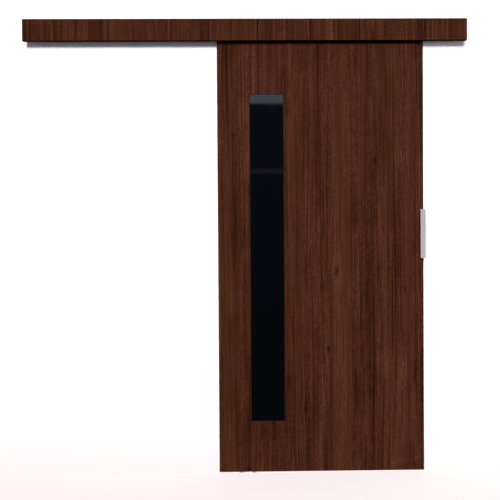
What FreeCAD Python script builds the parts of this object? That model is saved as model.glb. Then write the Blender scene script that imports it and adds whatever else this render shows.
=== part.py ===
import FreeCAD, Part
import math
import os

# A surface-mounted single-leaf sliding door. A laminated leaf with a black glass strip and an edge pull
# hangs from two carriages in an aluminium track, behind a long fascia board of the same wood.
# X runs along the track, Y points into the wall and Z points up.
# The origin is on the wall plane, at the middle of the track, on the line of the wall screws.

V = FreeCAD.Vector
ALONG_X = V(1, 0, 0)
ALONG_Y = V(0, 1, 0)
ALONG_Z = V(0, 0, 1)

# Driving dimensions, in millimetres.
SCREW_LINE_HEIGHT = 2078.0   # the wall screws above the finished floor

LEAF_WIDTH = 960.0
LEAF_HEIGHT = 2030.0
LEAF_THICKNESS = 22.0
LEAF_WALL_GAP = 14.0
LEAF_FLOOR_GAP = 8.0
LEAF_REST_X = 346.0          # the middle of the leaf at rest
BAND = 1.0                   # edge banding of the leaf and the fascia

GLASS_RECESS_WIDTH = 158.0
GLASS_RECESS_HEIGHT = 1524.0
GLASS_RECESS_DEPTH = 5.5
GLASS_FROM_LEFT = 150.0      # leaf edge to recess
GLASS_FROM_BOTTOM = 237.0    # leaf bottom to recess
GLASS_JOINT = 2.0
GLASS_THICKNESS = 4.0
TAPE_THICKNESS = 1.0
TAPE_WIDTH = 24.0
TAPE_MARGIN = 12.0
GLASS_ARRIS = 0.4
SEAL_SET_BACK = 1.0          # the sealant lies this far behind the face of the pane

FASCIA_LENGTH = 2046.0
FASCIA_HEIGHT = 100.0
FASCIA_THICKNESS = 28.0
FASCIA_FRONT = 80.0          # front face from the wall
FASCIA_TOP = 32.0            # top edge above the screw line

TRACK_LENGTH = 2000.0
TRACK_WIDTH = 33.0
TRACK_HEIGHT = 35.0
TRACK_TOP = 18.0             # above the screw line
TRACK_WALL = 2.5
TRACK_FLANGE = 3.0           # the two running flanges
TRACK_SLOT = 11.0            # between the flanges
CHAMBER_HEIGHT = 22.5
TEE_BLOCK_WIDTH = 20.0
TEE_SLOT_WIDTH = 14.0
TEE_SLOT_HEIGHT = 5.0
TEE_MOUTH = 7.0
TEE_LIP = 2.0

BRACKET_XS = (-900.0, -450.0, 0.0, 450.0, 900.0)
BRACKET_WIDTH = 50.0
BRACKET_PLATE = 4.0
BRACKET_LEG = 42.0
BRACKET_ARM = 49.0
OUTER_BEND = 0.9             # radius outside a plate's bend, as a part of its thickness
WALL_HOLE_SPACING = 30.0
WALL_HOLE_RADIUS = 2.75
TRACK_BOLT_SLOT = 12.0

ANGLE_WIDTH = 30.0
ANGLE_PLATE = 2.5
ANGLE_TOP_LEG = 19.0
ANGLE_FRONT_LEG = 40.5
ANGLE_BOLT_Y = -43.0
FASCIA_SCREW_ZS = (10.0, -8.0)

CARRIAGE_FROM_EDGE = 110.0   # leaf edge to carriage middle
CARRIAGE_LENGTH = 68.0
CARRIAGE_WIDTH = 9.6
CARRIAGE_HEIGHT = 15.0
CARRIAGE_ABOVE_FLANGE = 1.0
AXLE_SPACING = 44.0
AXLE_RADIUS = 2.5
AXLE_COLLAR = 1.1            # how far the collar and the riveted head stand out round the pin
AXLE_RIVET = 0.9
CARRIAGE_CORNER = 3.0
CARRIAGE_BOLT_ROOM = 0.2
WHEEL_RADIUS = 10.0
WHEEL_WIDTH = 6.5
WHEEL_FROM_MIDDLE = 6.2      # inner face of a wheel from the track's centre plane
WHEEL_LIFT = 0.15            # kept between tread and flange
RING_WIDTH = 5.0
RING_OUTER_RADIUS = 8.0
RING_OUTER_BORE = 6.5
RING_INNER_RADIUS = 4.2
SHIELD_BORE = 4.6
SHIELD_THICKNESS = 0.5
TYRE_EASE = 0.8
TYRE_ROOM = 0.02             # radial room between a tyre and its bearing

HANGER_PLATE_LENGTH = 90.0
HANGER_PLATE_WIDTH = 20.0
HANGER_PLATE_THICKNESS = 4.0
HANGER_SCREW_XS = (-36.0, -18.0, 18.0, 36.0)
HANGER_SCREW_LENGTH = 40.0
HANGER_BOLT_RADIUS = 4.0
HANGER_BOLT_LENGTH = 54.0
HANGER_BOLT_POCKET = 14.0
HANGER_POCKET_ROOM = 1.5
HANGER_PLATE_CORNER = 6.0
HANGER_SCREW_RADIUS = 2.0
HANGER_SCREW_HEAD = 4.2

STOP_LENGTH = 30.0
STOP_HEIGHT = 19.0
STOP_SIDE_GAP = 0.4
STOP_CHAMFER = 1.0
STOP_SCREW_PLACES = (0.4, 0.8)   # along the stop, as parts of its length
STOP_SCREW_FROM_FLANGE = 4.0
BUFFER_LENGTH = 10.3
BUFFER_RADIUS = 6.0
BUFFER_ROUND = 2.5
BUFFER_STUB_RADIUS = 2.0
BUFFER_STUB_LENGTH = 6.0
BUFFER_FACE_X = 854.3        # both buffers, from the track's middle

CHANNEL_WIDTH = 9.0
CHANNEL_HEIGHT = 16.0
CHANNEL_WALL = 1.0

GUIDE_LENGTH = 80.0
GUIDE_WIDTH = 20.0
GUIDE_PLATE = 3.0
GUIDE_HOLE_SPACING = 62.0
GUIDE_HOLE_RADIUS = 2.25
GUIDE_CORNER = 4.0
FIN_LENGTH = 44.0
FIN_THICKNESS = 5.0
FIN_HEIGHT = 17.0
FIN_SCREW_SPACING = 20.0
FIN_SCREW_LENGTH = 14.0
FIN_SCREW_RADIUS = 1.5
FIN_SCREW_HEAD = 2.9

HANDLE_LENGTH = 226.0
HANDLE_MIDDLE_HEIGHT = 1117.0  # above the floor
HANDLE_PROUD = 40.0
HANDLE_COVER = 20.5          # how far the front plate reaches over the leaf
HANDLE_FRONT_PLATE = 3.5
HANDLE_SIDE_PLATE = 4.0
HANDLE_BACK_MARGIN = 4.0     # side plate stops short of the leaf's back
HANDLE_BEND = 2.0            # radius at the profile's corner, outside and inside
HANDLE_EASE = 1.0            # radius on the plates' free edges
HANDLE_SCREW_PITCH = 95.0
HANDLE_SCREW_LENGTH = 30.0
HANDLE_SCREW_RADIUS = 2.0
HANDLE_SCREW_HEAD = 3.9

# Fasteners: radii, widths across flats and heights of the standard sizes.
M5_RADIUS = 2.5
M5_HOLE_RADIUS = 2.75
M5_HEAD_RADIUS = 4.7
M5_HEAD_HEIGHT = 2.8
M5_CROWN = 2.2
M5_SOCKET = 3.0
M5_SOCKET_FLOOR = 1.2
M5_NUT_FLATS = 8.0
M5_NUT_HEIGHT = 4.0
M5_LENGTH = 12.0
M6_RADIUS = 3.0
M6_NUT_FLATS = 10.0
M6_NUT_HEIGHT = 5.0
M6_WASHER_RADIUS = 6.0
M6_WASHER_BORE = 3.2
M6_WASHER_THICKNESS = 1.4
M6_POINT = 0.6
M8_FLATS = 13.0
M8_HEAD_HEIGHT = 5.5
M8_NUT_HEIGHT = 6.5
HAMMER_HEAD_WIDTH = 6.4
HAMMER_HEAD_LENGTH = 12.8
HAMMER_HEAD_HEIGHT = 4.0
HAMMER_HEAD_ROOM = 0.2       # between the head and the lips of the tee slot
TRACK_BOLT_LENGTH = 16.6
SET_SCREW_SOCKET = 2.5
SET_SCREW_SOCKET_DEPTH = 3.0
FASCIA_SCREW_RADIUS = 1.9
FASCIA_SCREW_HOLE = 2.2
FASCIA_SCREW_HEAD = 3.8
FASCIA_SCREW_HEAD_HEIGHT = 2.4
FASCIA_SCREW_CROWN = 1.4
FASCIA_SCREW_SHANK = 11.0
FASCIA_SCREW_POINT = 3.0
FASCIA_PILOT_DEPTH = 12.6

DRIVE_WIDTH = 0.22           # the arms of a cross drive, as parts of the head's radius
DRIVE_REACH = 0.62
DRIVE_DEPTH = 0.45

SLIP = 0.05                  # radial room round a screw or pin in its own hole
PAST = 1.0                   # how far a cut runs past the face that it opens

# Worked-out places.
FLOOR = -SCREW_LINE_HEIGHT
LEAF_BACK = -LEAF_WALL_GAP
LEAF_FRONT = LEAF_BACK - LEAF_THICKNESS
MID_Y = (LEAF_BACK + LEAF_FRONT) / 2   # the plane of leaf, track, carriages and guide
LEAF_BOTTOM = FLOOR + LEAF_FLOOR_GAP
LEAF_TOP = LEAF_BOTTOM + LEAF_HEIGHT
LEAF_LEFT = LEAF_REST_X - LEAF_WIDTH / 2
LEAF_RIGHT = LEAF_REST_X + LEAF_WIDTH / 2
TRACK_BOTTOM = TRACK_TOP - TRACK_HEIGHT
FLANGE_TOP = TRACK_BOTTOM + TRACK_FLANGE
CHAMBER_TOP = FLANGE_TOP + CHAMBER_HEIGHT
ARM_TOP = TRACK_TOP + BRACKET_PLATE
FASCIA_BACK = -FASCIA_FRONT + FASCIA_THICKNESS
AXLE_Z = FLANGE_TOP + WHEEL_RADIUS + WHEEL_LIFT
CARRIAGE_BOTTOM = FLANGE_TOP + CARRIAGE_ABOVE_FLANGE
CARRIAGE_TOP = CARRIAGE_BOTTOM + CARRIAGE_HEIGHT
CARRIAGE_XS = (LEAF_LEFT + CARRIAGE_FROM_EDGE, LEAF_RIGHT - CARRIAGE_FROM_EDGE)
HANDLE_BOTTOM = FLOOR + HANDLE_MIDDLE_HEIGHT - HANDLE_LENGTH / 2


# Shapes that many pieces share.

def block(x0, x1, y0, y1, z0, z1):
    """A box between two corners."""
    return Part.makeBox(x1 - x0, y1 - y0, z1 - z0, V(x0, y0, z0))


def rod(radius, start, axis, length):
    """A cylinder that starts at a point and runs along an axis."""
    return Part.makeCylinder(radius, length, start, axis)


def tube(outer, inner, start, axis, length):
    """A ring or washer."""
    return rod(outer, start, axis, length).cut(rod(inner, start, axis, length))


def hexagon(across_flats, base, height):
    """An upright hexagonal prism that stands on its base centre."""
    corner = across_flats / math.sqrt(3)
    angles = [math.radians(60 * i) for i in range(7)]
    points = [V(base.x + corner * math.cos(a), base.y + corner * math.sin(a), base.z) for a in angles]
    prism = Part.Face(Part.makePolygon(points)).extrude(V(0, 0, height))
    return prism.common(chamfered_disc(corner, across_flats / 2, base, height))


def chamfered_disc(corner, flat, base, height):
    """The turned blank that gives a nut or a bolt head its rounded corners."""
    drop = (corner - flat) * 0.6
    blank = rod(corner, base, ALONG_Z, height)
    rims = [edge for edge in blank.Edges if edge.Length > corner and len(edge.Vertexes) == 1]
    return blank.makeChamfer(drop, rims)


def nut(across_flats, bore, base, height):
    """A hexagonal nut on an upright bolt."""
    return hexagon(across_flats, base, height).cut(rod(bore, base, ALONG_Z, height))


def profile_x(points, x0, x1):
    """A closed outline of (y, z) points, run along X."""
    corners = [V(x0, y, z) for y, z in points]
    face = Part.Face(Part.makePolygon(corners + corners[:1]))
    return face.extrude(V(x1 - x0, 0, 0))


def countersunk(radius, head_radius, start, axis, length):
    """A countersunk screw whose head is flush with the start point and whose shank runs along the axis."""
    rise = head_radius - radius
    point = min(radius * 2, length / 4)
    head = Part.makeCone(head_radius, radius, rise, start, axis)
    shank = rod(radius, start, axis, length - point)
    tip = Part.makeCone(radius, radius * 0.2, point, start + axis * (length - point), axis)
    return head.fuse([shank, tip]).removeSplitter().cut(cross_drive(head_radius, start, axis))


def cross_drive(head_radius, face, axis):
    """The cross-shaped socket in a screw's head, sunk along the axis from the head's outer face."""
    half = head_radius * DRIVE_WIDTH / 2
    reach = head_radius * DRIVE_REACH
    depth = head_radius * DRIVE_DEPTH
    upright = block(-half, half, -reach, reach, -PAST, depth)
    level = block(-reach, reach, -half, half, -PAST, depth)
    socket = upright.fuse(level)
    socket.Placement = FreeCAD.Placement(face, FreeCAD.Rotation(ALONG_Z, axis))
    return socket


def countersink(radius, head_radius, start, axis, length):
    """The hole that a countersunk screw needs."""
    rise = head_radius - radius
    cone = Part.makeCone(head_radius + SLIP, radius + SLIP, rise, start, axis)
    return cone.fuse(rod(radius + SLIP, start, axis, length + SLIP))


def edges_along(shape, axis, test):
    """The straight edges of a shape that run along an axis and whose middle passes a test."""
    found = []
    for edge in shape.Edges:
        if len(edge.Vertexes) != 2:
            continue
        step = edge.Vertexes[1].Point - edge.Vertexes[0].Point
        middle = (edge.Vertexes[1].Point + edge.Vertexes[0].Point) * 0.5
        if step.Length > 0 and abs(abs(step.normalize().dot(axis)) - 1) < 1e-6 and test(middle):
            found.append(edge)
    return found


def group(solids):
    """Several separate solids in one shape."""
    return Part.makeCompound(solids)


# The track and what holds it to the wall.

def track_section_cut(half_width, low, high):
    """A slot through the whole track, centred on its middle plane."""
    end = TRACK_LENGTH / 2 + PAST
    return block(-end, end, MID_Y - half_width, MID_Y + half_width, low, high)


def track_rail():
    """The aluminium extrusion: a running chamber below and a tee slot for the bracket bolts above."""
    half = TRACK_LENGTH / 2
    side = TRACK_WIDTH / 2
    rail = block(-half, half, MID_Y - side, MID_Y + side, TRACK_BOTTOM, TRACK_TOP)
    inside = side - TRACK_WALL
    tee_top = TRACK_TOP - TEE_LIP
    shoulder = CHAMBER_TOP + TRACK_WALL
    cuts = [
        track_section_cut(inside, FLANGE_TOP, CHAMBER_TOP),
        track_section_cut(TRACK_SLOT / 2, TRACK_BOTTOM - PAST, FLANGE_TOP),
        track_section_cut(TEE_SLOT_WIDTH / 2, tee_top - TEE_SLOT_HEIGHT, tee_top),
        track_section_cut(TEE_MOUTH / 2, tee_top, TRACK_TOP + PAST),
    ]
    for sign in (-1, 1):
        near = MID_Y + sign * TEE_BLOCK_WIDTH / 2
        far = MID_Y + sign * (side + PAST)
        end = half + PAST
        cuts.append(block(-end, end, min(near, far), max(near, far), shoulder, TRACK_TOP + PAST))
    return rail.cut(cuts)


def wall_bracket(x):
    """A bent steel bracket: a leg on the wall and an arm over the track."""
    half = BRACKET_WIDTH / 2
    outline = [
        (0, ARM_TOP),
        (-BRACKET_ARM, ARM_TOP),
        (-BRACKET_ARM, TRACK_TOP),
        (-BRACKET_PLATE, TRACK_TOP),
        (-BRACKET_PLATE, ARM_TOP - BRACKET_LEG),
        (0, ARM_TOP - BRACKET_LEG),
    ]
    plate = profile_x(outline, x - half, x + half)
    outer = edges_along(plate, ALONG_X, lambda m: m.y == 0 and m.z == ARM_TOP)
    plate = plate.makeFillet(BRACKET_PLATE * OUTER_BEND, outer)
    front = edges_along(plate, ALONG_Z, lambda m: m.y == -BRACKET_ARM)
    plate = plate.makeFillet(BRACKET_PLATE, front)
    foot = edges_along(plate, ALONG_Y, lambda m: m.z == ARM_TOP - BRACKET_LEG)
    plate = plate.makeFillet(BRACKET_PLATE, foot)
    holes = [wall_hole(x + sign * WALL_HOLE_SPACING / 2) for sign in (-1, 1)]
    holes.append(arm_slot(x))
    depth = BRACKET_PLATE + 2 * PAST
    holes.append(rod(M5_HOLE_RADIUS, V(x, ANGLE_BOLT_Y, TRACK_TOP - PAST), ALONG_Z, depth))
    return plate.cut(holes)


def wall_hole(x):
    return rod(WALL_HOLE_RADIUS, V(x, PAST, 0), V(0, -1, 0), BRACKET_PLATE + 2 * PAST)


def arm_slot(x):
    """The slot that lets the track be set straight under the arms."""
    radius = TEE_MOUTH / 2
    reach = TRACK_BOLT_SLOT / 2 - radius
    low = TRACK_TOP - PAST
    depth = BRACKET_PLATE + 2 * PAST
    ends = [rod(radius, V(x, MID_Y + sign * reach, low), ALONG_Z, depth) for sign in (-1, 1)]
    middle = block(x - radius, x + radius, MID_Y - reach, MID_Y + reach, low, low + depth)
    return middle.fuse(ends)


def track_bolt(x):
    """An M6 hammer-head bolt that hangs the track under an arm."""
    half = HAMMER_HEAD_WIDTH / 2
    reach = HAMMER_HEAD_LENGTH / 2
    head_top = TRACK_TOP - TEE_LIP - HAMMER_HEAD_ROOM
    middle = head_top - HAMMER_HEAD_HEIGHT / 2
    head = block(x - half, x + half, MID_Y - reach, MID_Y + reach, head_top - HAMMER_HEAD_HEIGHT, head_top)
    shank = rod(M6_RADIUS, V(x, MID_Y, middle), ALONG_Z, TRACK_BOLT_LENGTH)
    tips = [edge for edge in shank.Edges if len(edge.Vertexes) == 1 and edge.BoundBox.ZMin > ARM_TOP]
    return head.fuse(shank.makeChamfer(M6_POINT, tips))


def track_washer(x):
    return tube(M6_WASHER_RADIUS, M6_WASHER_BORE, V(x, MID_Y, ARM_TOP), ALONG_Z, M6_WASHER_THICKNESS)


def track_nut(x):
    return nut(M6_NUT_FLATS, M6_RADIUS + SLIP, V(x, MID_Y, ARM_TOP + M6_WASHER_THICKNESS), M6_NUT_HEIGHT)


# The fascia and its angles.

def fascia_angle(x):
    """A steel angle that joins the back of the fascia to a bracket arm."""
    half = ANGLE_WIDTH / 2
    top = ARM_TOP + ANGLE_PLATE
    outline = [
        (FASCIA_BACK, top),
        (FASCIA_BACK, top - ANGLE_FRONT_LEG),
        (FASCIA_BACK + ANGLE_PLATE, top - ANGLE_FRONT_LEG),
        (FASCIA_BACK + ANGLE_PLATE, ARM_TOP),
        (FASCIA_BACK + ANGLE_TOP_LEG, ARM_TOP),
        (FASCIA_BACK + ANGLE_TOP_LEG, top),
    ]
    plate = profile_x(outline, x - half, x + half)
    corner = edges_along(plate, ALONG_X, lambda m: m.y == FASCIA_BACK and m.z == top)
    plate = plate.makeFillet(ANGLE_PLATE * OUTER_BEND, corner)
    depth = ANGLE_PLATE + 2 * PAST
    holes = [rod(M5_HOLE_RADIUS, V(x, ANGLE_BOLT_Y, ARM_TOP - PAST), ALONG_Z, depth)]
    for z in FASCIA_SCREW_ZS:
        holes.append(rod(FASCIA_SCREW_HOLE, V(x, FASCIA_BACK - PAST, z), ALONG_Y, depth))
    return plate.cut(holes)


def angle_bolt(x):
    """An M5 button-head screw through angle and arm."""
    seat = ARM_TOP + ANGLE_PLATE
    head = rod(M5_HEAD_RADIUS, V(x, ANGLE_BOLT_Y, seat), ALONG_Z, M5_HEAD_HEIGHT)
    crown = [edge for edge in head.Edges if len(edge.Vertexes) == 1 and edge.BoundBox.ZMin > seat + 1]
    head = head.makeFillet(M5_CROWN, crown)
    socket = hexagon(M5_SOCKET, V(x, ANGLE_BOLT_Y, seat + M5_SOCKET_FLOOR), M5_HEAD_HEIGHT)
    return head.cut(socket).fuse(rod(M5_RADIUS, V(x, ANGLE_BOLT_Y, seat), V(0, 0, -1), M5_LENGTH))


def angle_nut(x):
    return nut(M5_NUT_FLATS, M5_RADIUS + SLIP, V(x, ANGLE_BOLT_Y, TRACK_TOP - M5_NUT_HEIGHT), M5_NUT_HEIGHT)


def fascia_screw(x, z):
    """A pan-head wood screw driven from behind into the fascia."""
    seat = V(x, FASCIA_BACK + ANGLE_PLATE, z)
    head = rod(FASCIA_SCREW_HEAD, seat, ALONG_Y, FASCIA_SCREW_HEAD_HEIGHT)
    rim = [edge for edge in head.Edges if len(edge.Vertexes) == 1 and edge.BoundBox.YMin > seat.y + 1]
    head = head.makeFillet(FASCIA_SCREW_CROWN, rim)
    inward = V(0, -1, 0)
    shank = rod(FASCIA_SCREW_RADIUS, seat, inward, FASCIA_SCREW_SHANK)
    start = seat + inward * FASCIA_SCREW_SHANK
    tip = Part.makeCone(FASCIA_SCREW_RADIUS, FASCIA_SCREW_RADIUS * 0.2, FASCIA_SCREW_POINT, start, inward)
    top = seat + ALONG_Y * FASCIA_SCREW_HEAD_HEIGHT
    return head.fuse([shank, tip]).removeSplitter().cut(cross_drive(FASCIA_SCREW_HEAD, top, inward))


def fascia_screw_places():
    return [(x, z) for x in BRACKET_XS for z in FASCIA_SCREW_ZS]


def fascia_board():
    """The laminated board, without its edge banding."""
    half = FASCIA_LENGTH / 2 - BAND
    low = FASCIA_TOP - FASCIA_HEIGHT + BAND
    board = block(-half, half, -FASCIA_FRONT, FASCIA_BACK, low, FASCIA_TOP - BAND)
    return board.cut([fascia_pilot(x, z) for x, z in fascia_screw_places()])


def fascia_pilot(x, z):
    start = V(x, FASCIA_BACK + PAST, z)
    return rod(FASCIA_SCREW_RADIUS + SLIP, start, V(0, -1, 0), FASCIA_PILOT_DEPTH + PAST)


def fascia_long_band(z):
    """A top or bottom strip of banding whose lower face is at z."""
    half = FASCIA_LENGTH / 2 - BAND
    return block(-half, half, -FASCIA_FRONT, FASCIA_BACK, z, z + BAND)


def fascia_end_bands():
    low = FASCIA_TOP - FASCIA_HEIGHT
    end = FASCIA_LENGTH / 2
    left = block(-end, -end + BAND, -FASCIA_FRONT, FASCIA_BACK, low, FASCIA_TOP)
    right = block(end - BAND, end, -FASCIA_FRONT, FASCIA_BACK, low, FASCIA_TOP)
    return group([left, right])


# The end stops inside the track.

def stop_span(side, near, far):
    """An X span measured outwards from the track's middle, on the left (-1) or the right (1)."""
    return sorted((side * near, side * far))


def end_stop(side):
    """A zinc block clamped in the running chamber."""
    near = BUFFER_FACE_X + BUFFER_LENGTH
    x0, x1 = stop_span(side, near, near + STOP_LENGTH)
    half = TRACK_WIDTH / 2 - TRACK_WALL - STOP_SIDE_GAP
    body = block(x0, x1, MID_Y - half, MID_Y + half, FLANGE_TOP, FLANGE_TOP + STOP_HEIGHT)
    body = body.makeChamfer(STOP_CHAMFER, edges_along(body, ALONG_Z, lambda m: True))
    bores = []
    for x in stop_screw_xs(side):
        bores.append(rod(M5_RADIUS + SLIP, V(x, MID_Y, FLANGE_TOP - PAST), ALONG_Z, STOP_HEIGHT + 2 * PAST))
    mouth = V(side * (near - PAST), MID_Y, buffer_z())
    bores.append(rod(BUFFER_STUB_RADIUS + SLIP, mouth, V(side, 0, 0), BUFFER_STUB_LENGTH + PAST + SLIP))
    return body.cut(bores)


def stop_screw_xs(side):
    near = BUFFER_FACE_X + BUFFER_LENGTH
    return [side * (near + STOP_LENGTH * part) for part in STOP_SCREW_PLACES]


def stop_set_screw(x):
    """An M5 set screw that jacks the stop against the roof of the chamber."""
    low = FLANGE_TOP + STOP_SCREW_FROM_FLANGE
    screw = rod(M5_RADIUS, V(x, MID_Y, low), ALONG_Z, CHAMBER_TOP - low)
    return screw.cut(hexagon(SET_SCREW_SOCKET, V(x, MID_Y, low - PAST), SET_SCREW_SOCKET_DEPTH + PAST))


def buffer_z():
    return (CARRIAGE_BOTTOM + CARRIAGE_TOP) / 2


def stop_buffer(side):
    """A rubber button with a stub that plugs into its stop."""
    out = V(side, 0, 0)
    face = V(side * BUFFER_FACE_X, MID_Y, buffer_z())
    button = rod(BUFFER_RADIUS, face, out, BUFFER_LENGTH)
    rims = [edge for edge in button.Edges if len(edge.Vertexes) == 1]
    outer = [edge for edge in rims if abs(edge.Vertexes[0].X - face.x) < 0.1]
    button = button.makeFillet(BUFFER_ROUND, outer)
    stub = rod(BUFFER_STUB_RADIUS, face + out * (BUFFER_LENGTH - PAST), out, BUFFER_STUB_LENGTH + PAST)
    return button.fuse(stub).removeSplitter()


# The floor guide.

def guide_plate():
    """The steel foot plate, with two floor screw holes and two countersinks below for the fin's screws."""
    half = GUIDE_LENGTH / 2
    side = GUIDE_WIDTH / 2
    plate = block(-half, half, MID_Y - side, MID_Y + side, FLOOR, FLOOR + GUIDE_PLATE)
    plate = plate.makeFillet(GUIDE_CORNER, edges_along(plate, ALONG_Z, lambda m: True))
    holes = []
    for sign in (-1, 1):
        x = sign * GUIDE_HOLE_SPACING / 2
        holes.append(rod(GUIDE_HOLE_RADIUS, V(x, MID_Y, FLOOR - PAST), ALONG_Z, GUIDE_PLATE + 2 * PAST))
    holes.extend(fin_screw_holes())
    return plate.cut(holes)


def fin_screw_xs():
    return (-FIN_SCREW_SPACING / 2, FIN_SCREW_SPACING / 2)


def fin_screw_holes():
    return [countersink(*fin_screw_sizes(x)) for x in fin_screw_xs()]


def fin_screw_sizes(x):
    return FIN_SCREW_RADIUS, FIN_SCREW_HEAD, V(x, MID_Y, FLOOR), ALONG_Z, FIN_SCREW_LENGTH


def guide_fin():
    """The nylon blade that runs in the leaf's bottom channel."""
    half = FIN_LENGTH / 2
    side = FIN_THICKNESS / 2
    low = FLOOR + GUIDE_PLATE
    fin = block(-half, half, MID_Y - side, MID_Y + side, low, low + FIN_HEIGHT)
    fin = fin.makeFillet(side * 0.96, edges_along(fin, ALONG_Z, lambda m: True))
    return fin.cut(fin_screw_holes())


def fin_screws():
    return group([countersunk(*fin_screw_sizes(x)) for x in fin_screw_xs()])


# The leaf.

def glass_recess():
    """The shallow recess in the leaf's front face."""
    x0 = LEAF_LEFT + GLASS_FROM_LEFT
    z0 = LEAF_BOTTOM + GLASS_FROM_BOTTOM
    return x0, x0 + GLASS_RECESS_WIDTH, z0, z0 + GLASS_RECESS_HEIGHT


def leaf_board():
    """The laminated board, without its edge banding."""
    board = block(LEAF_LEFT + BAND, LEAF_RIGHT - BAND, LEAF_FRONT, LEAF_BACK, LEAF_BOTTOM, LEAF_TOP - BAND)
    x0, x1, z0, z1 = glass_recess()
    cuts = [block(x0, x1, LEAF_FRONT - PAST, LEAF_FRONT + GLASS_RECESS_DEPTH, z0, z1), channel_groove()]
    cuts.extend(handle_screw_holes())
    cuts.extend(hanger_holes())
    return board.cut(cuts)


def channel_groove():
    half = CHANNEL_WIDTH / 2
    x0 = LEAF_LEFT + BAND
    x1 = LEAF_RIGHT - BAND
    return block(x0, x1, MID_Y - half, MID_Y + half, LEAF_BOTTOM - PAST, LEAF_BOTTOM + CHANNEL_HEIGHT)


def hanger_holes():
    """What each hanger needs in the top of the leaf: four pilot holes and a pocket for the bolt's end."""
    holes = []
    top = LEAF_TOP + PAST
    down = V(0, 0, -1)
    pocket = HANGER_BOLT_RADIUS + HANGER_POCKET_ROOM
    pilot = HANGER_SCREW_RADIUS + SLIP
    for x in CARRIAGE_XS:
        holes.append(rod(pocket, V(x, MID_Y, top), down, HANGER_BOLT_POCKET + PAST))
        for step in HANGER_SCREW_XS:
            holes.append(rod(pilot, V(x + step, MID_Y, top), down, HANGER_SCREW_LENGTH))
    return holes


def leaf_side_bands():
    """The strips on the two upright edges."""
    left = block(LEAF_LEFT, LEAF_LEFT + BAND, LEAF_FRONT, LEAF_BACK, LEAF_BOTTOM, LEAF_TOP)
    right = block(LEAF_RIGHT - BAND, LEAF_RIGHT, LEAF_FRONT, LEAF_BACK, LEAF_BOTTOM, LEAF_TOP)
    return left, right.cut(handle_screw_holes())


def leaf_top_band():
    band = block(LEAF_LEFT + BAND, LEAF_RIGHT - BAND, LEAF_FRONT, LEAF_BACK, LEAF_TOP - BAND, LEAF_TOP)
    return band.cut(hanger_holes())


def bottom_channel():
    """The aluminium channel in the leaf's bottom groove, open downwards."""
    half = CHANNEL_WIDTH / 2
    x0 = LEAF_LEFT + 2 * BAND
    x1 = LEAF_RIGHT - 2 * BAND
    body = block(x0, x1, MID_Y - half, MID_Y + half, LEAF_BOTTOM, LEAF_BOTTOM + CHANNEL_HEIGHT)
    inner = half - CHANNEL_WALL
    low = LEAF_BOTTOM - PAST
    roof = LEAF_BOTTOM + CHANNEL_HEIGHT - CHANNEL_WALL
    return body.cut(block(x0 - PAST, x1 + PAST, MID_Y - inner, MID_Y + inner, low, roof))


# The glass strip.

def glass_strip():
    """Opaque black glass, a little below the face of the leaf."""
    x0, x1, z0, z1 = glass_outline()
    back = LEAF_FRONT + GLASS_RECESS_DEPTH - TAPE_THICKNESS
    front = back - GLASS_THICKNESS
    pane = block(x0, x1, front, back, z0, z1)
    return pane.makeChamfer(GLASS_ARRIS, [edge for edge in pane.Edges if edge.BoundBox.YMax < back - 1])


def glass_outline():
    """The pane, inside its joint."""
    x0, x1, z0, z1 = glass_recess()
    return x0 + GLASS_JOINT, x1 - GLASS_JOINT, z0 + GLASS_JOINT, z1 - GLASS_JOINT


def glass_seal():
    """The black sealant joint all round the pane."""
    x0, x1, z0, z1 = glass_recess()
    back = LEAF_FRONT + GLASS_RECESS_DEPTH
    front = back - TAPE_THICKNESS - GLASS_THICKNESS + SEAL_SET_BACK
    frame = block(x0, x1, front, back, z0, z1)
    x0, x1, z0, z1 = glass_outline()
    return frame.cut(block(x0, x1, front - PAST, back + PAST, z0, z1))


def glass_tapes():
    """Two strips of mounting tape behind the pane."""
    x0, x1, z0, z1 = glass_recess()
    back = LEAF_FRONT + GLASS_RECESS_DEPTH
    low = z0 + TAPE_MARGIN
    high = z1 - TAPE_MARGIN
    tapes = []
    for left in (x0 + TAPE_MARGIN, x1 - TAPE_MARGIN - TAPE_WIDTH):
        tapes.append(block(left, left + TAPE_WIDTH, back - TAPE_THICKNESS, back, low, high))
    return group(tapes)


# The hangers.

def hanger_plate(x):
    """A tapped steel plate screwed to the top of the leaf."""
    half = HANGER_PLATE_LENGTH / 2
    side = HANGER_PLATE_WIDTH / 2
    top = LEAF_TOP + HANGER_PLATE_THICKNESS
    plate = block(x - half, x + half, MID_Y - side, MID_Y + side, LEAF_TOP, top)
    plate = plate.makeFillet(HANGER_PLATE_CORNER, edges_along(plate, ALONG_Z, lambda m: True))
    depth = HANGER_PLATE_THICKNESS + 2 * PAST
    holes = [rod(HANGER_BOLT_RADIUS + SLIP, V(x, MID_Y, LEAF_TOP - PAST), ALONG_Z, depth)]
    holes.extend([countersink(*hanger_screw_sizes(x + step)) for step in HANGER_SCREW_XS])
    return plate.cut(holes)


def hanger_screw_sizes(x):
    start = V(x, MID_Y, LEAF_TOP + HANGER_PLATE_THICKNESS)
    return HANGER_SCREW_RADIUS, HANGER_SCREW_HEAD, start, V(0, 0, -1), HANGER_SCREW_LENGTH


def hanger_plate_screws():
    places = [x + step for x in CARRIAGE_XS for step in HANGER_SCREW_XS]
    return group([countersunk(*hanger_screw_sizes(x)) for x in places])


def hanger_bolt(x):
    """An M8 bolt whose head rests on the carriage and whose end is screwed into the plate."""
    head = hexagon(M8_FLATS, V(x, MID_Y, CARRIAGE_TOP), M8_HEAD_HEIGHT)
    return head.fuse(rod(HANGER_BOLT_RADIUS, V(x, MID_Y, CARRIAGE_TOP), V(0, 0, -1), HANGER_BOLT_LENGTH))


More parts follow.
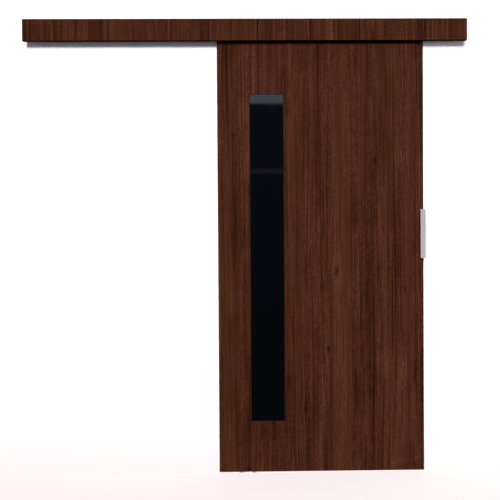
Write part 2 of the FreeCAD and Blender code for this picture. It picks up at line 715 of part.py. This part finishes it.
def hanger_nuts():
    """A lock nut on each bolt, tight on the plate."""
    base = LEAF_TOP + HANGER_PLATE_THICKNESS
    bore = HANGER_BOLT_RADIUS + SLIP
    return group([nut(M8_FLATS, bore, V(x, MID_Y, base), M8_NUT_HEIGHT) for x in CARRIAGE_XS])


# The carriages and their wheels.

def axle_xs(carriage_x):
    return (carriage_x - AXLE_SPACING / 2, carriage_x + AXLE_SPACING / 2)


def carriage_body(x):
    """A zinc block that carries the axles and the head of the hanger bolt."""
    half = CARRIAGE_LENGTH / 2
    side = CARRIAGE_WIDTH / 2
    body = block(x - half, x + half, MID_Y - side, MID_Y + side, CARRIAGE_BOTTOM, CARRIAGE_TOP)
    body = body.makeFillet(CARRIAGE_CORNER, edges_along(body, ALONG_Y, lambda m: True))
    width = CARRIAGE_WIDTH + 2 * PAST
    cuts = [rod(AXLE_RADIUS + SLIP, V(a, MID_Y - side - PAST, AXLE_Z), ALONG_Y, width) for a in axle_xs(x)]
    bore = HANGER_BOLT_RADIUS + CARRIAGE_BOLT_ROOM
    cuts.append(rod(bore, V(x, MID_Y, CARRIAGE_BOTTOM - PAST), ALONG_Z, CARRIAGE_HEIGHT + 2 * PAST))
    return body.cut(cuts)


def ring_start():
    """The inner face of a bearing from the track's centre plane."""
    return WHEEL_FROM_MIDDLE + (WHEEL_WIDTH - RING_WIDTH) / 2


def axle(x):
    """A steel pin with a collar against each bearing and a riveted head outside it."""
    collar_radius = AXLE_RADIUS + AXLE_COLLAR
    side = CARRIAGE_WIDTH / 2
    outside = ring_start() + RING_WIDTH
    reach = outside + AXLE_RIVET
    pin = rod(AXLE_RADIUS, V(x, MID_Y - reach, AXLE_Z), ALONG_Y, 2 * reach)
    pieces = []
    for sign in (-1, 1):
        out = V(0, sign, 0)
        pieces.append(rod(collar_radius, V(x, MID_Y + sign * side, AXLE_Z), out, ring_start() - side))
        pieces.append(rod(collar_radius, V(x, MID_Y + sign * outside, AXLE_Z), out, AXLE_RIVET))
    return pin.fuse(pieces).removeSplitter()


def inner_rings(x):
    """The bearing rings that stay still on an axle."""
    rings = []
    for sign in (-1, 1):
        start = V(x, MID_Y + sign * ring_start(), AXLE_Z)
        rings.append(tube(RING_INNER_RADIUS, AXLE_RADIUS + SLIP, start, V(0, sign, 0), RING_WIDTH))
    return rings


def outer_ring(x, sign):
    """A bearing's outer ring with a shield on each face."""
    out = V(0, sign, 0)
    start = V(x, MID_Y + sign * ring_start(), AXLE_Z)
    ring = tube(RING_OUTER_RADIUS, RING_OUTER_BORE, start, out, RING_WIDTH)
    far = start + out * (RING_WIDTH - SHIELD_THICKNESS)
    rim = RING_OUTER_BORE + SHIELD_THICKNESS
    shields = [tube(rim, SHIELD_BORE, at, out, SHIELD_THICKNESS) for at in (start, far)]
    return ring.fuse(shields).removeSplitter()


def tyre(x, sign):
    """A nylon tyre with eased edges."""
    out = V(0, sign, 0)
    start = V(x, MID_Y + sign * WHEEL_FROM_MIDDLE, AXLE_Z)
    blank = rod(WHEEL_RADIUS, start, out, WHEEL_WIDTH)
    blank = blank.makeFillet(TYRE_EASE, [edge for edge in blank.Edges if len(edge.Vertexes) == 1])
    return blank.cut(rod(RING_OUTER_RADIUS + TYRE_ROOM, start - out * PAST, out, WHEEL_WIDTH + 2 * PAST))


# The edge pull.

def handle():
    """An aluminium profile on the leaf's edge that turns forward and back over the face."""
    front = LEAF_FRONT - HANDLE_PROUD
    back = LEAF_BACK - HANDLE_BACK_MARGIN
    outer = LEAF_RIGHT + HANDLE_SIDE_PLATE
    lip = LEAF_RIGHT - HANDLE_COVER
    inner = front + HANDLE_FRONT_PLATE
    outline = [
        (LEAF_RIGHT, back),
        (outer, back),
        (outer, front),
        (lip, front),
        (lip, inner),
        (LEAF_RIGHT, inner),
    ]
    corners = [V(x, y, HANDLE_BOTTOM) for x, y in outline]
    body = Part.Face(Part.makePolygon(corners + corners[:1])).extrude(V(0, 0, HANDLE_LENGTH))
    bend = edges_along(body, ALONG_Z, lambda m: m.x == outer and m.y == front)
    body = body.makeFillet(HANDLE_BEND, bend)
    inside = edges_along(body, ALONG_Z, lambda m: m.x == LEAF_RIGHT and m.y == inner)
    body = body.makeFillet(HANDLE_BEND, inside)
    ends = edges_along(body, ALONG_Z, lambda m: m.x == lip or m.y == back)
    body = body.makeFillet(HANDLE_EASE, ends)
    return body.cut(handle_screw_holes())


def handle_screw_starts():
    middle = HANDLE_BOTTOM + HANDLE_LENGTH / 2
    x = LEAF_RIGHT + HANDLE_SIDE_PLATE
    return [V(x, MID_Y, middle + step * HANDLE_SCREW_PITCH) for step in (-1, 0, 1)]


def handle_screw_holes():
    return [countersink(*handle_screw_sizes(start)) for start in handle_screw_starts()]


def handle_screw_sizes(start):
    return HANDLE_SCREW_RADIUS, HANDLE_SCREW_HEAD, start, V(-1, 0, 0), HANDLE_SCREW_LENGTH


def handle_screws():
    return group([countersunk(*handle_screw_sizes(start)) for start in handle_screw_starts()])


def all_nodes():
    """Every sub-part, by the name of its file."""
    nodes = {"track_rail": track_rail()}
    for number, x in enumerate(BRACKET_XS, 1):
        nodes[f"wall_bracket_{number}"] = wall_bracket(x)
        nodes[f"fascia_angle_{number}"] = fascia_angle(x)
    nodes["track_bolts"] = group([track_bolt(x) for x in BRACKET_XS])
    nodes["track_washers"] = group([track_washer(x) for x in BRACKET_XS])
    nodes["track_nuts"] = group([track_nut(x) for x in BRACKET_XS])
    nodes["angle_bolts"] = group([angle_bolt(x) for x in BRACKET_XS])
    nodes["angle_nuts"] = group([angle_nut(x) for x in BRACKET_XS])
    nodes["fascia_screws"] = group([fascia_screw(x, z) for x, z in fascia_screw_places()])
    nodes["fascia_board"] = fascia_board()
    nodes["fascia_band_top"] = fascia_long_band(FASCIA_TOP - BAND)
    nodes["fascia_band_bottom"] = fascia_long_band(FASCIA_TOP - FASCIA_HEIGHT)
    nodes["fascia_band_ends"] = fascia_end_bands()

    for name, side in (("left", -1), ("right", 1)):
        nodes[f"end_stop_{name}"] = end_stop(side)
        nodes[f"stop_buffer_{name}"] = stop_buffer(side)
    nodes["stop_set_screws"] = group([stop_set_screw(x) for side in (-1, 1) for x in stop_screw_xs(side)])

    nodes["guide_plate"] = guide_plate()
    nodes["guide_fin"] = guide_fin()
    nodes["guide_fin_screws"] = fin_screws()

    nodes["leaf_board"] = leaf_board()
    nodes["leaf_band_left"], nodes["leaf_band_right"] = leaf_side_bands()
    nodes["leaf_band_top"] = leaf_top_band()
    nodes["bottom_channel"] = bottom_channel()
    nodes["glass_strip"] = glass_strip()
    nodes["glass_seal"] = glass_seal()
    nodes["glass_tapes"] = glass_tapes()

    nodes["hanger_plate_screws"] = hanger_plate_screws()
    nodes["hanger_nuts"] = hanger_nuts()
    wheelset = 0
    for number, x in enumerate(CARRIAGE_XS, 1):
        nodes[f"hanger_plate_{number}"] = hanger_plate(x)
        nodes[f"hanger_bolt_{number}"] = hanger_bolt(x)
        nodes[f"carriage_body_{number}"] = carriage_body(x)
        nodes[f"axles_{number}"] = group([axle(a) for a in axle_xs(x)])
        rings = [ring for a in axle_xs(x) for ring in inner_rings(a)]
        nodes[f"bearing_inner_rings_{number}"] = group(rings)
        for a in axle_xs(x):
            wheelset += 1
            nodes[f"bearing_outer_rings_{wheelset}"] = group([outer_ring(a, sign) for sign in (-1, 1)])
            nodes[f"wheel_tyres_{wheelset}"] = group([tyre(a, sign) for sign in (-1, 1)])

    nodes["handle"] = handle()
    nodes["handle_screws"] = handle_screws()
    return nodes


os.makedirs("parts", exist_ok=True)
for node, shape in all_nodes().items():
    shape.exportStep(f"parts/{node}.step")
    state = "valid" if shape.isValid() else "NOT VALID"
    print(node, len(shape.Solids), "solids", round(shape.Volume / 1000, 2), "cm3", state)
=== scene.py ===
import math

import bpy
from mathutils import Matrix, Vector


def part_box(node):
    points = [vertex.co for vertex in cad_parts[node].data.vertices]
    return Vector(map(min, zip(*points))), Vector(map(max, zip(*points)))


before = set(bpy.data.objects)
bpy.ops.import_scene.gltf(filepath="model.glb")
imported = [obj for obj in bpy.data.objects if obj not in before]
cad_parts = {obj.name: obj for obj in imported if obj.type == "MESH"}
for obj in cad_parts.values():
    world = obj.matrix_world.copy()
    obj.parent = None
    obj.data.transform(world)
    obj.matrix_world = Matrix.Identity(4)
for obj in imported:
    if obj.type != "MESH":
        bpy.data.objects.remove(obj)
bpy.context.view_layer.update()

# Places that the rest is worked out from, in metres, in the row frame. The wall plane is y = 0.
FLOOR_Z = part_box("guide_plate")[0].z
FASCIA_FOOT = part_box("fascia_board")[0].z


class Nodes:
    """Adds nodes to one node tree and joins them. Patterns start from the coordinates in place."""

    def __init__(self, tree, coordinates):
        self.tree = tree
        self.place = self.add("ShaderNodeTexCoord").outputs[coordinates]

    def add(self, kind, **settings):
        node = self.tree.nodes.new(kind)
        for key, value in settings.items():
            setattr(node, key, value)
        return node

    def feed(self, socket, value):
        """Gives an input a constant, or joins it to another node's output."""
        if isinstance(value, bpy.types.NodeSocket):
            self.tree.links.new(value, socket)
        else:
            socket.default_value = value

    def apply(self, kind, values, **settings):
        """Adds a node, feeds its inputs in order and gives its first output."""
        node = self.add(kind, **settings)
        for socket, value in zip(node.inputs, values):
            self.feed(socket, value)
        return node.outputs[0]

    def math(self, operation, *values):
        return self.apply("ShaderNodeMath", values, operation=operation)

    def vector(self, operation, *values):
        return self.apply("ShaderNodeVectorMath", values, operation=operation)

    def join(self, *parts):
        return self.apply("ShaderNodeCombineXYZ", parts)

    def split(self, vector):
        node = self.add("ShaderNodeSeparateXYZ")
        self.feed(node.inputs[0], vector)
        return node.outputs

    def between(self, value, low, high, to_low=0.0, to_high=1.0, smooth=True):
        """Maps a range of a value to another range, and holds the ends."""
        return self.apply("ShaderNodeMapRange", (value, low, high, to_low, to_high),
                          interpolation_type="SMOOTHSTEP" if smooth else "LINEAR")

    def noise(self, scale, detail=2.0, roughness=0.5, place=None, shift=(0.0, 0.0, 0.0)):
        """Noise with its own scale along each axis, in cycles a metre."""
        node = self.add("ShaderNodeTexNoise")
        stretched = self.vector("MULTIPLY", place or self.place, scale)
        self.feed(node.inputs["Vector"], self.vector("ADD", stretched, shift))
        self.feed(node.inputs["Scale"], 1.0)
        self.feed(node.inputs["Detail"], detail)
        self.feed(node.inputs["Roughness"], roughness)
        return node.outputs["Fac"]

    def blend(self, kind, factor, a, b):
        node = self.add("ShaderNodeMix", data_type=kind)
        for name, value in (("Factor", factor), ("A", a), ("B", b)):
            self.feed(node.inputs[name], value)
        return node.outputs["Result"]

    def mix(self, factor, a, b):
        """Mixes two colours."""
        a, b = ((*colour, 1.0) if isinstance(colour, tuple) else colour for colour in (a, b))
        return self.blend("RGBA", factor, a, b)

    def mix_value(self, factor, a, b):
        return self.blend("FLOAT", factor, a, b)

    def colours(self, factor, stops):
        node = self.add("ShaderNodeValToRGB")
        ramp = node.color_ramp
        while len(ramp.elements) < len(stops):
            ramp.elements.new(0.5)
        for element, (at, colour) in zip(ramp.elements, stops):
            element.position = at
            element.color = (*colour, 1.0)
        self.feed(node.inputs["Fac"], factor)
        return node.outputs["Color"]


class Surface(Nodes):
    """A material round one Principled shader, on coordinates that ride with the piece."""

    def __init__(self, name):
        self.material = bpy.data.materials.new(name)
        self.material.use_nodes = True
        super().__init__(self.material.node_tree, "Object")
        self.shader = self.tree.nodes["Principled BSDF"]

    def bump(self, height, strength, distance):
        node = self.add("ShaderNodeBump")
        self.feed(node.inputs["Height"], height)
        self.feed(node.inputs["Strength"], strength)
        self.feed(node.inputs["Distance"], distance)
        self.feed(self.shader.inputs["Normal"], node.outputs["Normal"])

    def shade(self, **inputs):
        """Feeds the shader's inputs, named with _ for each space, and gives the material."""
        for key, value in inputs.items():
            self.feed(self.shader.inputs[key.replace("_", " ")], value)
        return self.material


# Walnut.

KNOTS = [  # x and z in metres in the row frame, and the radius
    (0.42, -1.13, 0.016),
    (0.38, -1.50, 0.012),
    (0.27, -1.78, 0.014),
    (0.60, -0.62, 0.010),
    (-0.06, -0.50, 0.012),
    (0.74, -1.22, 0.009),
]
KNOT_FLATNESS = 0.45    # a knot's width over its height
KNOT_CORE = 0.4         # the size of its dark core, as a share of the radius
KNOT_PUSH = -0.7        # how far the grain parts round it

WALNUT_TONES = [  # from the darkest pores to the palest lines
    (0.02, (0.0095, 0.0018, 0.0006)),
    (0.28, (0.0265, 0.0062, 0.0024)),
    (0.52, (0.0435, 0.0118, 0.0052)),
    (0.76, (0.0660, 0.0200, 0.0098)),
    (1.00, (0.0980, 0.0350, 0.0200)),
]
MIDDLE_TONE = 0.52
TAWNY = (0.0540, 0.0185, 0.0056)
RUDDY = (0.0560, 0.0120, 0.0075)
# The next colour is painted shade: a board's lower edge is painted much darker to stand for the shade under
# the board, as well as being made matt.
EDGE_PAINTED_SHADE = (0.0120, 0.0036, 0.0022)
EDGE_SHADE_FADE = (0.0006, 0.0002)    # heights in metres over which a board's lower edge turns matt
GRAIN_WANDER = 0.022                # metres from side to side


def around_knots(g, x, z, push):
    """Adds to the grain's push so that it parts round each knot, and gives the dark cores too."""
    cores = 0.0
    for knot_x, knot_z, radius in KNOTS:
        dx = g.math("SUBTRACT", x, knot_x)
        dz = g.math("MULTIPLY", g.math("SUBTRACT", z, knot_z), KNOT_FLATNESS)
        far2 = g.math("ADD", g.math("MULTIPLY", dx, dx), g.math("MULTIPLY", dz, dz))
        near = g.math("EXPONENT", g.math("DIVIDE", far2, -2.0 * radius ** 2))
        push = g.math("ADD", push, g.math("MULTIPLY", g.math("MULTIPLY", dx, near), KNOT_PUSH))
        core = g.math("EXPONENT", g.math("DIVIDE", far2, -2.0 * (KNOT_CORE * radius) ** 2))
        cores = g.math("ADD", cores, core)
    return push, cores


def walnut(name, marks=True, matt_shade_below=None):
    """Dark walnut laminate with an upright grain: broad bands, streaks, fine lines, pores and mottle.

    The leaf has knots. A board's lower edge may be made matt, with painted shade darkening its colour.
    """
    g = Surface(name)
    x, y, z = g.split(g.place)

    # the grain is nearly straight, wanders a little, and parts round the knots
    push = g.math("MULTIPLY", g.math("SUBTRACT", g.noise((2.5, 2.5, 0.8), 1.0), 0.5), GRAIN_WANDER)
    knots = 0.0
    if marks:
        push, knots = around_knots(g, x, z, push)
    wandered = g.math("ADD", x, push)
    grain = g.join(wandered, y, z)

    def grain_noise(across, along, detail=2.0, roughness=0.5, shift=(0.0, 0.0, 0.0)):
        return g.noise((across, across, along), detail, roughness, grain, shift)

    bands = grain_noise(14.0, 0.45)
    streaks = grain_noise(52.0, 0.6, 2.0, 0.55, (7.0, 3.0, 1.0))
    lines = grain_noise(190.0, 1.5, 2.0, 0.65, (13.0, 6.0, 4.0))
    fine = grain_noise(480.0, 6.0, 2.0, 0.6, (2.0, 9.0, 5.0))
    cloud = g.noise((16.0, 16.0, 7.0), 3.0, 0.6, shift=(3.0, 8.0, 1.0))
    mottle = g.noise((210.0, 210.0, 105.0), 2.0, 0.6, shift=(5.0, 2.0, 9.0))
    tone = MIDDLE_TONE
    for layer, weight in ((bands, 0.50), (streaks, 0.65), (lines, 1.30), (fine, 0.95), (cloud, 0.50),
                          (mottle, 1.00)):
        tone = g.math("MULTIPLY_ADD", g.math("SUBTRACT", layer, 0.5), weight, tone)

    veins = grain_noise(22.0, 0.5, 2.0, 0.6, (11.0, 5.0, 2.0))
    vein = g.between(g.math("ABSOLUTE", g.math("SUBTRACT", veins, 0.5)), 0.0, 0.011, 1.0, 0.0)
    vein = g.math("MULTIPLY", vein, g.between(grain_noise(7.0, 1.6, 1.0), 0.42, 0.60))
    line = g.between(grain_noise(95.0, 1.0, 1.0, shift=(31.0, 1.0, 6.0)), 0.60, 0.74)
    pore = g.between(grain_noise(900.0, 28.0, 1.0, shift=(4.0, 1.0, 8.0)), 0.60, 0.72)
    knots = g.math("MULTIPLY", knots, g.between(g.noise((120.0, 120.0, 90.0)), 0.28, 0.52))
    for dark_mark, weight in ((vein, -0.30), (line, -0.30), (pore, -0.14), (knots, -0.85)):
        tone = g.math("MULTIPLY_ADD", dark_mark, weight, tone)

    colour = g.colours(tone, WALNUT_TONES)
    hue = grain_noise(9.0, 0.30, 1.0, shift=(21.0, 2.0, 3.0))
    colour = g.mix(g.between(hue, 0.50, 0.68, 0.0, 0.34), colour, TAWNY)
    colour = g.mix(g.between(hue, 0.48, 0.32, 0.0, 0.36), colour, RUDDY)
    rough = g.between(fine, 0.25, 0.75, 0.48, 0.60, smooth=False)
    g.bump(g.math("MULTIPLY_ADD", pore, -0.6, fine), 0.16, 0.0005)
    if matt_shade_below is None:
        return g.shade(Base_Color=colour, Roughness=rough, Specular_IOR_Level=0.2)
    # Painted shade: the lower edge's colour goes dark to stand for the shade under the board. Its roughness
    # and specular level change too.
    matt_and_shade = g.between(z, *(matt_shade_below + height for height in EDGE_SHADE_FADE))
    return g.shade(Base_Color=g.mix(matt_and_shade, colour, EDGE_PAINTED_SHADE), Roughness=g.mix_value(matt_and_shade, rough, 0.8),
                   Specular_IOR_Level=g.between(matt_and_shade, 0.0, 1.0, 0.2, 0.0))


# Glass, metals, plastics and rubber.

def black_glass(name):
    """Polished opaque glass with the faintest cloud in its polish."""
    g = Surface(name)
    cloud = g.noise((6.0, 6.0, 2.5), 3.0)
    base = g.mix(cloud, (0.0006, 0.0008, 0.0012), (0.0012, 0.0017, 0.0026))
    return g.shade(Base_Color=base, Roughness=g.between(cloud, 0.3, 0.7, 0.012, 0.028), IOR=1.5)


def sealant(name):
    """Matt black silicone with a slightly uneven skin."""
    g = Surface(name)
    skin = g.noise((120.0, 120.0, 30.0), 3.0)
    base = g.mix(skin, (0.0035, 0.0032, 0.0032), (0.0090, 0.0085, 0.0085))
    g.bump(skin, 0.25, 0.0006)
    return g.shade(Base_Color=base, Roughness=g.between(skin, 0.3, 0.7, 0.45, 0.65))


def brushed(name, light, dark, along, metallic=1.0, rough=(0.30, 0.42)):
    """Metal with fine lines along one axis and a slow cloud in its tone."""
    g = Surface(name)
    lines = g.noise(tuple(14.0 if axis == along else 1900.0 for axis in "xyz"), 2.0, 0.6)
    cloud = g.noise((22.0, 22.0, 22.0), 3.0, 0.6)
    tone = g.math("MULTIPLY_ADD", lines, 0.45, g.math("MULTIPLY", cloud, 0.55))
    base = g.mix(g.between(tone, 0.30, 0.70), dark, light)
    g.bump(lines, 0.12, 0.0002)
    return g.shade(Base_Color=base, Metallic=metallic, Roughness=g.between(tone, 0.3, 0.7, *rough))


def plated(name, light, dark, rough=(0.28, 0.46)):
    """Zinc plating: a mottled spangle, a slow cloud and tiny pits."""
    g = Surface(name)
    cells = g.add("ShaderNodeTexVoronoi")
    g.feed(cells.inputs["Vector"], g.vector("MULTIPLY", g.place, (260.0, 260.0, 260.0)))
    g.feed(cells.inputs["Scale"], 1.0)
    spangle = g.apply("ShaderNodeRGBToBW", [cells.outputs["Color"]])
    cloud = g.noise((40.0, 40.0, 40.0), 4.0, 0.6)
    pits = g.noise((1500.0, 1500.0, 1500.0), 2.0, 0.6)
    tone = g.math("MULTIPLY_ADD", spangle, 0.35, g.math("MULTIPLY", cloud, 0.65))
    base = g.mix(g.between(tone, 0.3, 0.7), dark, light)
    g.bump(g.math("MULTIPLY_ADD", pits, 0.6, cloud), 0.18, 0.0003)
    return g.shade(Base_Color=base, Metallic=1.0, Roughness=g.between(tone, 0.25, 0.75, *rough))


def cast(name, light, dark):
    """Die-cast zinc: a dull, grainy skin."""
    g = Surface(name)
    grain = g.noise((900.0, 900.0, 900.0), 3.0, 0.65)
    cloud = g.noise((60.0, 60.0, 60.0), 3.0)
    base = g.mix(g.math("MULTIPLY_ADD", grain, 0.5, g.math("MULTIPLY", cloud, 0.5)), dark, light)
    g.bump(grain, 0.35, 0.0003)
    return g.shade(Base_Color=base, Metallic=0.85, Roughness=g.between(cloud, 0.3, 0.7, 0.48, 0.62))


def moulded(name, light, dark, rough=(0.38, 0.55), grain=0.15):
    """Moulded plastic, rubber or foam: a fine texture and a slight cloud."""
    g = Surface(name)
    texture = g.noise((1400.0, 1400.0, 1400.0), 2.0, 0.6)
    cloud = g.noise((45.0, 45.0, 45.0), 3.0)
    g.bump(texture, grain, 0.0002)
    return g.shade(Base_Color=g.mix(cloud, dark, light), Roughness=g.between(texture, 0.3, 0.7, *rough))


def dress(nodes, material):
    """Gives CAD nodes a material in every slot."""
    for node in nodes:
        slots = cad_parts[node].data.materials
        slots.clear()
        slots.append(material)


def nodes_named(*starts):
    return [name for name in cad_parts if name.startswith(starts)]


dress(nodes_named("leaf_"), walnut("walnut_leaf"))
# The fascia's lower edge gets painted shade.
dress(nodes_named("fascia_board", "fascia_band"),
      walnut("walnut_fascia", marks=False, matt_shade_below=FASCIA_FOOT))
dress(["glass_strip"], black_glass("black_glass"))
dress(["glass_seal"], sealant("black_silicone"))
dress(["glass_tapes"], moulded("foam_tape", (0.05, 0.05, 0.05), (0.03, 0.03, 0.03), (0.7, 0.85), 0.4))
dress(["handle"],
      brushed("satin_aluminium", (0.71, 0.625, 0.600), (0.645, 0.565, 0.545), "z", 0.5, (0.50, 0.60)))
dress(["track_rail", "bottom_channel"],
      brushed("mill_aluminium", (0.74, 0.75, 0.76), (0.58, 0.59, 0.61), "x"))
dress(nodes_named("wall_bracket", "fascia_angle", "hanger_plate_1", "hanger_plate_2"),
      plated("zinc_plate", (0.66, 0.67, 0.70), (0.44, 0.45, 0.48)))
dress(nodes_named("track_bolts", "track_nuts", "track_washers", "angle_", "fascia_screws", "stop_set_screws",
                  "guide_fin_screws", "hanger_plate_screws", "hanger_bolt", "hanger_nuts", "handle_screws"),
      plated("zinc_fastener", (0.78, 0.77, 0.72), (0.58, 0.57, 0.53), (0.22, 0.36)))
dress(nodes_named("carriage_body", "end_stop"),
      cast("cast_zinc", (0.46, 0.47, 0.49), (0.30, 0.31, 0.33)))
dress(nodes_named("bearing", "axles"),
      brushed("ground_steel", (0.66, 0.66, 0.67), (0.5, 0.5, 0.52), "y", 1.0, (0.16, 0.28)))
dress(nodes_named("stop_buffer"),
      moulded("black_rubber", (0.022, 0.022, 0.022), (0.012, 0.012, 0.012), (0.6, 0.8)))
dress(nodes_named("wheel_tyres"), moulded("white_nylon", (0.80, 0.79, 0.74), (0.70, 0.69, 0.64)))
dress(["guide_fin", "guide_plate"], moulded("pale_nylon", (0.84, 0.84, 0.83), (0.76, 0.76, 0.75)))


# The stage: a pale floor, and a plain backdrop on the wall plane that is only seen from the front. Both glow,
# to stand for the light that a pale room sends back, and both are a little rosier on the left.

WALL_HALF = 1.75
WALL_TOP = 0.75
WALL_FADE = 0.45        # height over which the wall turns to the tone of its foot
FLOOR_REACH = 9.0
ROSY_LEFT = -0.9
PLAIN_RIGHT = 1.1
SQUARE = [(-1, -1), (1, -1), (1, 1), (-1, 1)]


def wall_material():
    g = Surface("stage_wall")
    x, _, z = g.split(g.place)
    low = g.between(z, FLOOR_Z + WALL_FADE, FLOOR_Z)
    aside = g.between(x, ROSY_LEFT, PLAIN_RIGHT, smooth=False)
    foot = g.mix(aside, (0.745, 0.665, 0.670), (0.78, 0.735, 0.725))
    base = g.mix(low, (0.90, 0.90, 0.90), foot)
    # Painted light: below the fascia the wall glows, bluer on the left and brighter to the right, to lift the
    # fascia's cast shadow. The glow fades out upward into the gap behind the fascia's foot, and fades out
    # near the floor.
    glow = g.mix(g.between(x, -0.1, 0.8), (0.060, 0.058, 0.074), (0.140, 0.134, 0.145))
    under_fascia = g.between(z, FASCIA_FOOT + 0.012, FASCIA_FOOT - 0.006, smooth=False)
    g.shade(Base_Color=base, Roughness=0.9, Specular_IOR_Level=0.1, Emission_Color=glow,
            Emission_Strength=g.math("MULTIPLY", under_fascia, g.between(low, 0.0, 0.3, 1.0, 0.0)))
    clear = g.add("ShaderNodeBsdfTransparent").outputs[0]
    from_behind = g.add("ShaderNodeNewGeometry").outputs["Backfacing"]
    seen = g.apply("ShaderNodeMixShader", (from_behind, g.shader.outputs[0], clear))
    g.feed(g.tree.nodes["Material Output"].inputs["Surface"], seen)
    return g.material


def floor_material():
    g = Surface("stage_floor")
    x, y, _ = g.split(g.place)
    aside = g.between(x, ROSY_LEFT, PLAIN_RIGHT, smooth=False)
    at_wall = g.mix(aside, (0.829, 0.714, 0.722), (0.850, 0.800, 0.795))
    in_front = g.mix(aside, (0.784, 0.684, 0.694), (0.832, 0.767, 0.767))
    close = g.mix(g.between(y, 0.0, -0.55, smooth=False), at_wall, in_front)
    away = g.math("MAXIMUM", g.between(y, -0.7, -2.2), g.between(y, 0.0, 1.5))
    return g.shade(Base_Color=(0.22, 0.22, 0.22, 1.0), Roughness=0.85, Specular_IOR_Level=0.1,
                   Emission_Color=g.mix(away, close, (0.87, 0.845, 0.847)), Emission_Strength=1.0)


def sheet(name, corners, material):
    """One flat piece of the stage."""
    mesh = bpy.data.meshes.new(name)
    mesh.from_pydata(corners, [], [tuple(range(len(corners)))])
    mesh.materials.append(material)
    piece = bpy.data.objects.new(name, mesh)
    bpy.context.scene.collection.objects.link(piece)
    return piece


wall = sheet("stage_wall", [(side * WALL_HALF, 0, WALL_TOP if up > 0 else FLOOR_Z) for side, up in SQUARE],
             wall_material())
wall.visible_shadow = False
wall.visible_diffuse = False
floor = sheet("stage_floor", [(side * FLOOR_REACH, back * FLOOR_REACH, FLOOR_Z) for side, back in SQUARE],
              floor_material())
floor.visible_glossy = False
floor.visible_diffuse = False


# Light: one soft lamp nearly square to the wall, and a pale studio all round with a dark doorway behind the
# camera, which is what the black glass shows. The first six pairs are slopes: how far a direction rises, or
# goes aside, for each metre out from the wall. The last two are heights on a unit sphere. Each pair is where
# something fades in from, and where it is whole.

DOORWAY_SIDE = (0.55, 0.35)
DOORWAY_HEAD = (0.150, 0.140)
ROOM_DUSK = (-0.2, 0.12)
SHELF_FOOT = (0.0505, 0.0520)
SHELF_HEAD = (0.0565, 0.0550)
CEILING_EDGE = (0.1169, 0.1184)
BAND_FOOT = (-0.19, -0.09)
BAND_HEAD = (0.16, 0.08)


def studio():
    world = bpy.data.worlds.new("studio")
    bpy.context.scene.world = world
    world.use_nodes = True
    g = Nodes(world.node_tree, "Generated")
    side, back, height = g.split(g.place)
    out_from_wall = g.math("MAXIMUM", g.math("MULTIPLY", back, -1.0), 0.001)
    rise = g.math("DIVIDE", height, out_from_wall)
    aside = g.math("ABSOLUTE", g.math("DIVIDE", side, out_from_wall))

    # through the doorway: a dim room with one pale shelf, and its ceiling
    room = g.mix(g.between(rise, *ROOM_DUSK), (0.010, 0.013, 0.015), (0.034, 0.045, 0.072))
    shelf = g.math("MULTIPLY", g.between(rise, *SHELF_FOOT), g.between(rise, *SHELF_HEAD))
    room = g.mix(g.math("MULTIPLY", shelf, 0.8), room, (0.20, 0.21, 0.24))
    room = g.mix(g.between(rise, *CEILING_EDGE), room, (1.14, 1.22, 1.55))
    doorway = g.math("MULTIPLY", g.between(aside, *DOORWAY_SIDE), g.between(rise, *DOORWAY_HEAD))

    # round it: a dim front with a paler level band, and bright behind the wall
    band = g.math("MULTIPLY", g.between(height, *BAND_FOOT), g.between(height, *BAND_HEAD))
    front = g.mix(g.between(height, 0.0, 0.5), (0.012, 0.012, 0.012), (0.22, 0.22, 0.225))
    front = g.mix(band, front, (0.52, 0.52, 0.55))
    around = g.mix(g.between(back, -0.05, 0.30), front, (1.15, 1.15, 1.16))
    around = g.mix(doorway, around, room)
    seen = g.add("ShaderNodeLightPath").outputs["Is Camera Ray"]
    g.feed(g.tree.nodes["Background"].inputs["Color"], g.mix(seen, around, (0.995, 0.99, 0.99)))


def sun(name, strength, azimuth, elevation, spread):
    """A lamp far in front: azimuth from straight ahead towards +X, elevation above level, in degrees."""
    lamp = bpy.data.lights.new(name, "SUN")
    lamp.energy = strength
    lamp.angle = math.radians(spread)
    piece = bpy.data.objects.new(name, lamp)
    a = math.radians(azimuth)
    e = math.radians(elevation)
    towards_lamp = Vector((math.sin(a) * math.cos(e), -math.cos(a) * math.cos(e), math.sin(e)))
    piece.rotation_euler = towards_lamp.to_track_quat("Z", "Y").to_euler()
    piece.visible_glossy = False
    bpy.context.scene.collection.objects.link(piece)


studio()
sun("key", strength=4.05, azimuth=-5.0, elevation=13.6, spread=12.5)


# The camera stands nearly square to the leaf, a little to its left, at chest height.

CAMERA_PLACE = Vector((-0.0988, -4.9235, -0.9274))
CAMERA_YAW = -1.33      # degrees, as are the next two
CAMERA_PITCH = -1.23
CAMERA_ROLL = 0.377
CAMERA_LENS = 75.6      # millimetres, as is the sensor's width
SENSOR = 36.0


def make_camera():
    data = bpy.data.cameras.new("camera")
    data.sensor_width = SENSOR
    data.lens = CAMERA_LENS
    piece = bpy.data.objects.new("camera", data)
    turn = (Matrix.Rotation(math.radians(CAMERA_YAW), 4, "Z")
            @ Matrix.Rotation(math.radians(CAMERA_PITCH), 4, "X")
            @ Matrix.Rotation(math.radians(CAMERA_ROLL), 4, "Y")
            @ Matrix.Rotation(math.radians(90.0), 4, "X"))
    piece.matrix_world = Matrix.Translation(CAMERA_PLACE) @ turn
    bpy.context.scene.collection.objects.link(piece)
    bpy.context.scene.camera = piece


make_camera()
bpy.context.scene.view_settings.view_transform = "Standard"
